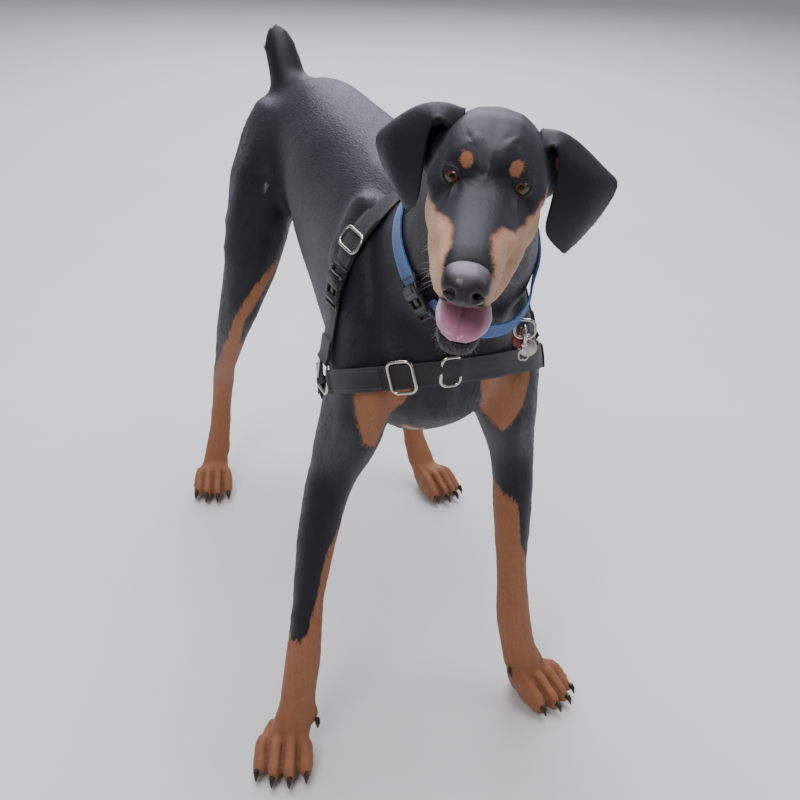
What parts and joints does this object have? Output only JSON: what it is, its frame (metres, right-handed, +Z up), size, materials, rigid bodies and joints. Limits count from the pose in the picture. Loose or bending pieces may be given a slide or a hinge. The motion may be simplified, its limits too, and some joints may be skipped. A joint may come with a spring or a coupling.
{
  "type": "doberman pinscher",
  "caption": "Life-size standing doberman pinscher, black and rust, with natural drop ears, a docked tail, a panting mouth, a blue webbing collar and a black chest harness.",
  "frame": {"origin": "on the floor under the middle of the whole outline", "axes": "-Y is the way the body faces, +X is the animal's own left side, and +Z is up"},
  "size_m": [0.4512, 1.0019, 0.819],
  "materials": {
    "black_coat": "short smooth black coat with a soft sheen",
    "rust_coat": "short smooth rust coat",
    "claw": "smooth dark horn",
    "nose_leather": "fine pebbled black nose leather, slightly moist",
    "tongue": "moist pink",
    "eye": "polished amber brown",
    "blue_webbing": "woven blue webbing",
    "black_webbing": "woven black webbing",
    "black_plastic": "moulded black plastic",
    "steel": "worn nickel-plated wire",
    "tag_red": "plain red enamel"
  },
  "bodies": {
    "root": {"head": "black_coat", "jaw": "black_coat", "neck": "black_coat", "tail": "black_coat", "torso": "black_coat", "foreleg_right_upper": "black_coat", "foreleg_right_lower": "rust_coat", "forepaw_right": "rust_coat", "claw_forepaw_right_1": "claw", "claw_forepaw_right_2": "claw", "claw_forepaw_right_3": "claw", "claw_forepaw_right_4": "claw", "dewclaw_right": "claw", "foreleg_left_upper": "black_coat", "foreleg_left_lower": "rust_coat", "forepaw_left": "rust_coat", "claw_forepaw_left_1": "claw", "claw_forepaw_left_2": "claw", "claw_forepaw_left_3": "claw", "claw_forepaw_left_4": "claw", "dewclaw_left": "claw", "hindleg_right_upper": "black_coat", "hindleg_right_lower": "rust_coat", "hindleg_right_hock": "rust_coat", "hindpaw_right": "rust_coat", "claw_hindpaw_right_1": "claw", "claw_hindpaw_right_2": "claw", "claw_hindpaw_right_3": "claw", "claw_hindpaw_right_4": "claw", "hindleg_left_upper": "black_coat", "hindleg_left_lower": "rust_coat", "hindleg_left_hock": "rust_coat", "hindpaw_left": "rust_coat", "claw_hindpaw_left_1": "claw", "claw_hindpaw_left_2": "claw", "claw_hindpaw_left_3": "claw", "claw_hindpaw_left_4": "claw", "nose": "nose_leather", "tongue": "tongue", "ear_right": "black_coat", "eye_right": "eye", "ear_left": "black_coat", "eye_left": "eye", "collar_band": "blue_webbing", "harness_chest_strap": "black_webbing", "harness_shoulder_strap": "black_webbing", "harness_girth_strap": "black_webbing", "collar_buckle": "black_plastic", "collar_ring": "steel", "collar_clip": "steel", "collar_tag_plain": "steel", "collar_tag_red": "tag_red", "harness_chest_slider": "steel", "harness_chest_ring": "steel", "harness_shoulder_slider": "steel", "harness_shoulder_buckle": "black_plastic", "harness_girth_buckle": "black_plastic", "harness_side_ring_right": "steel", "harness_side_ring_left": "steel"}
  },
  "joints": []
}
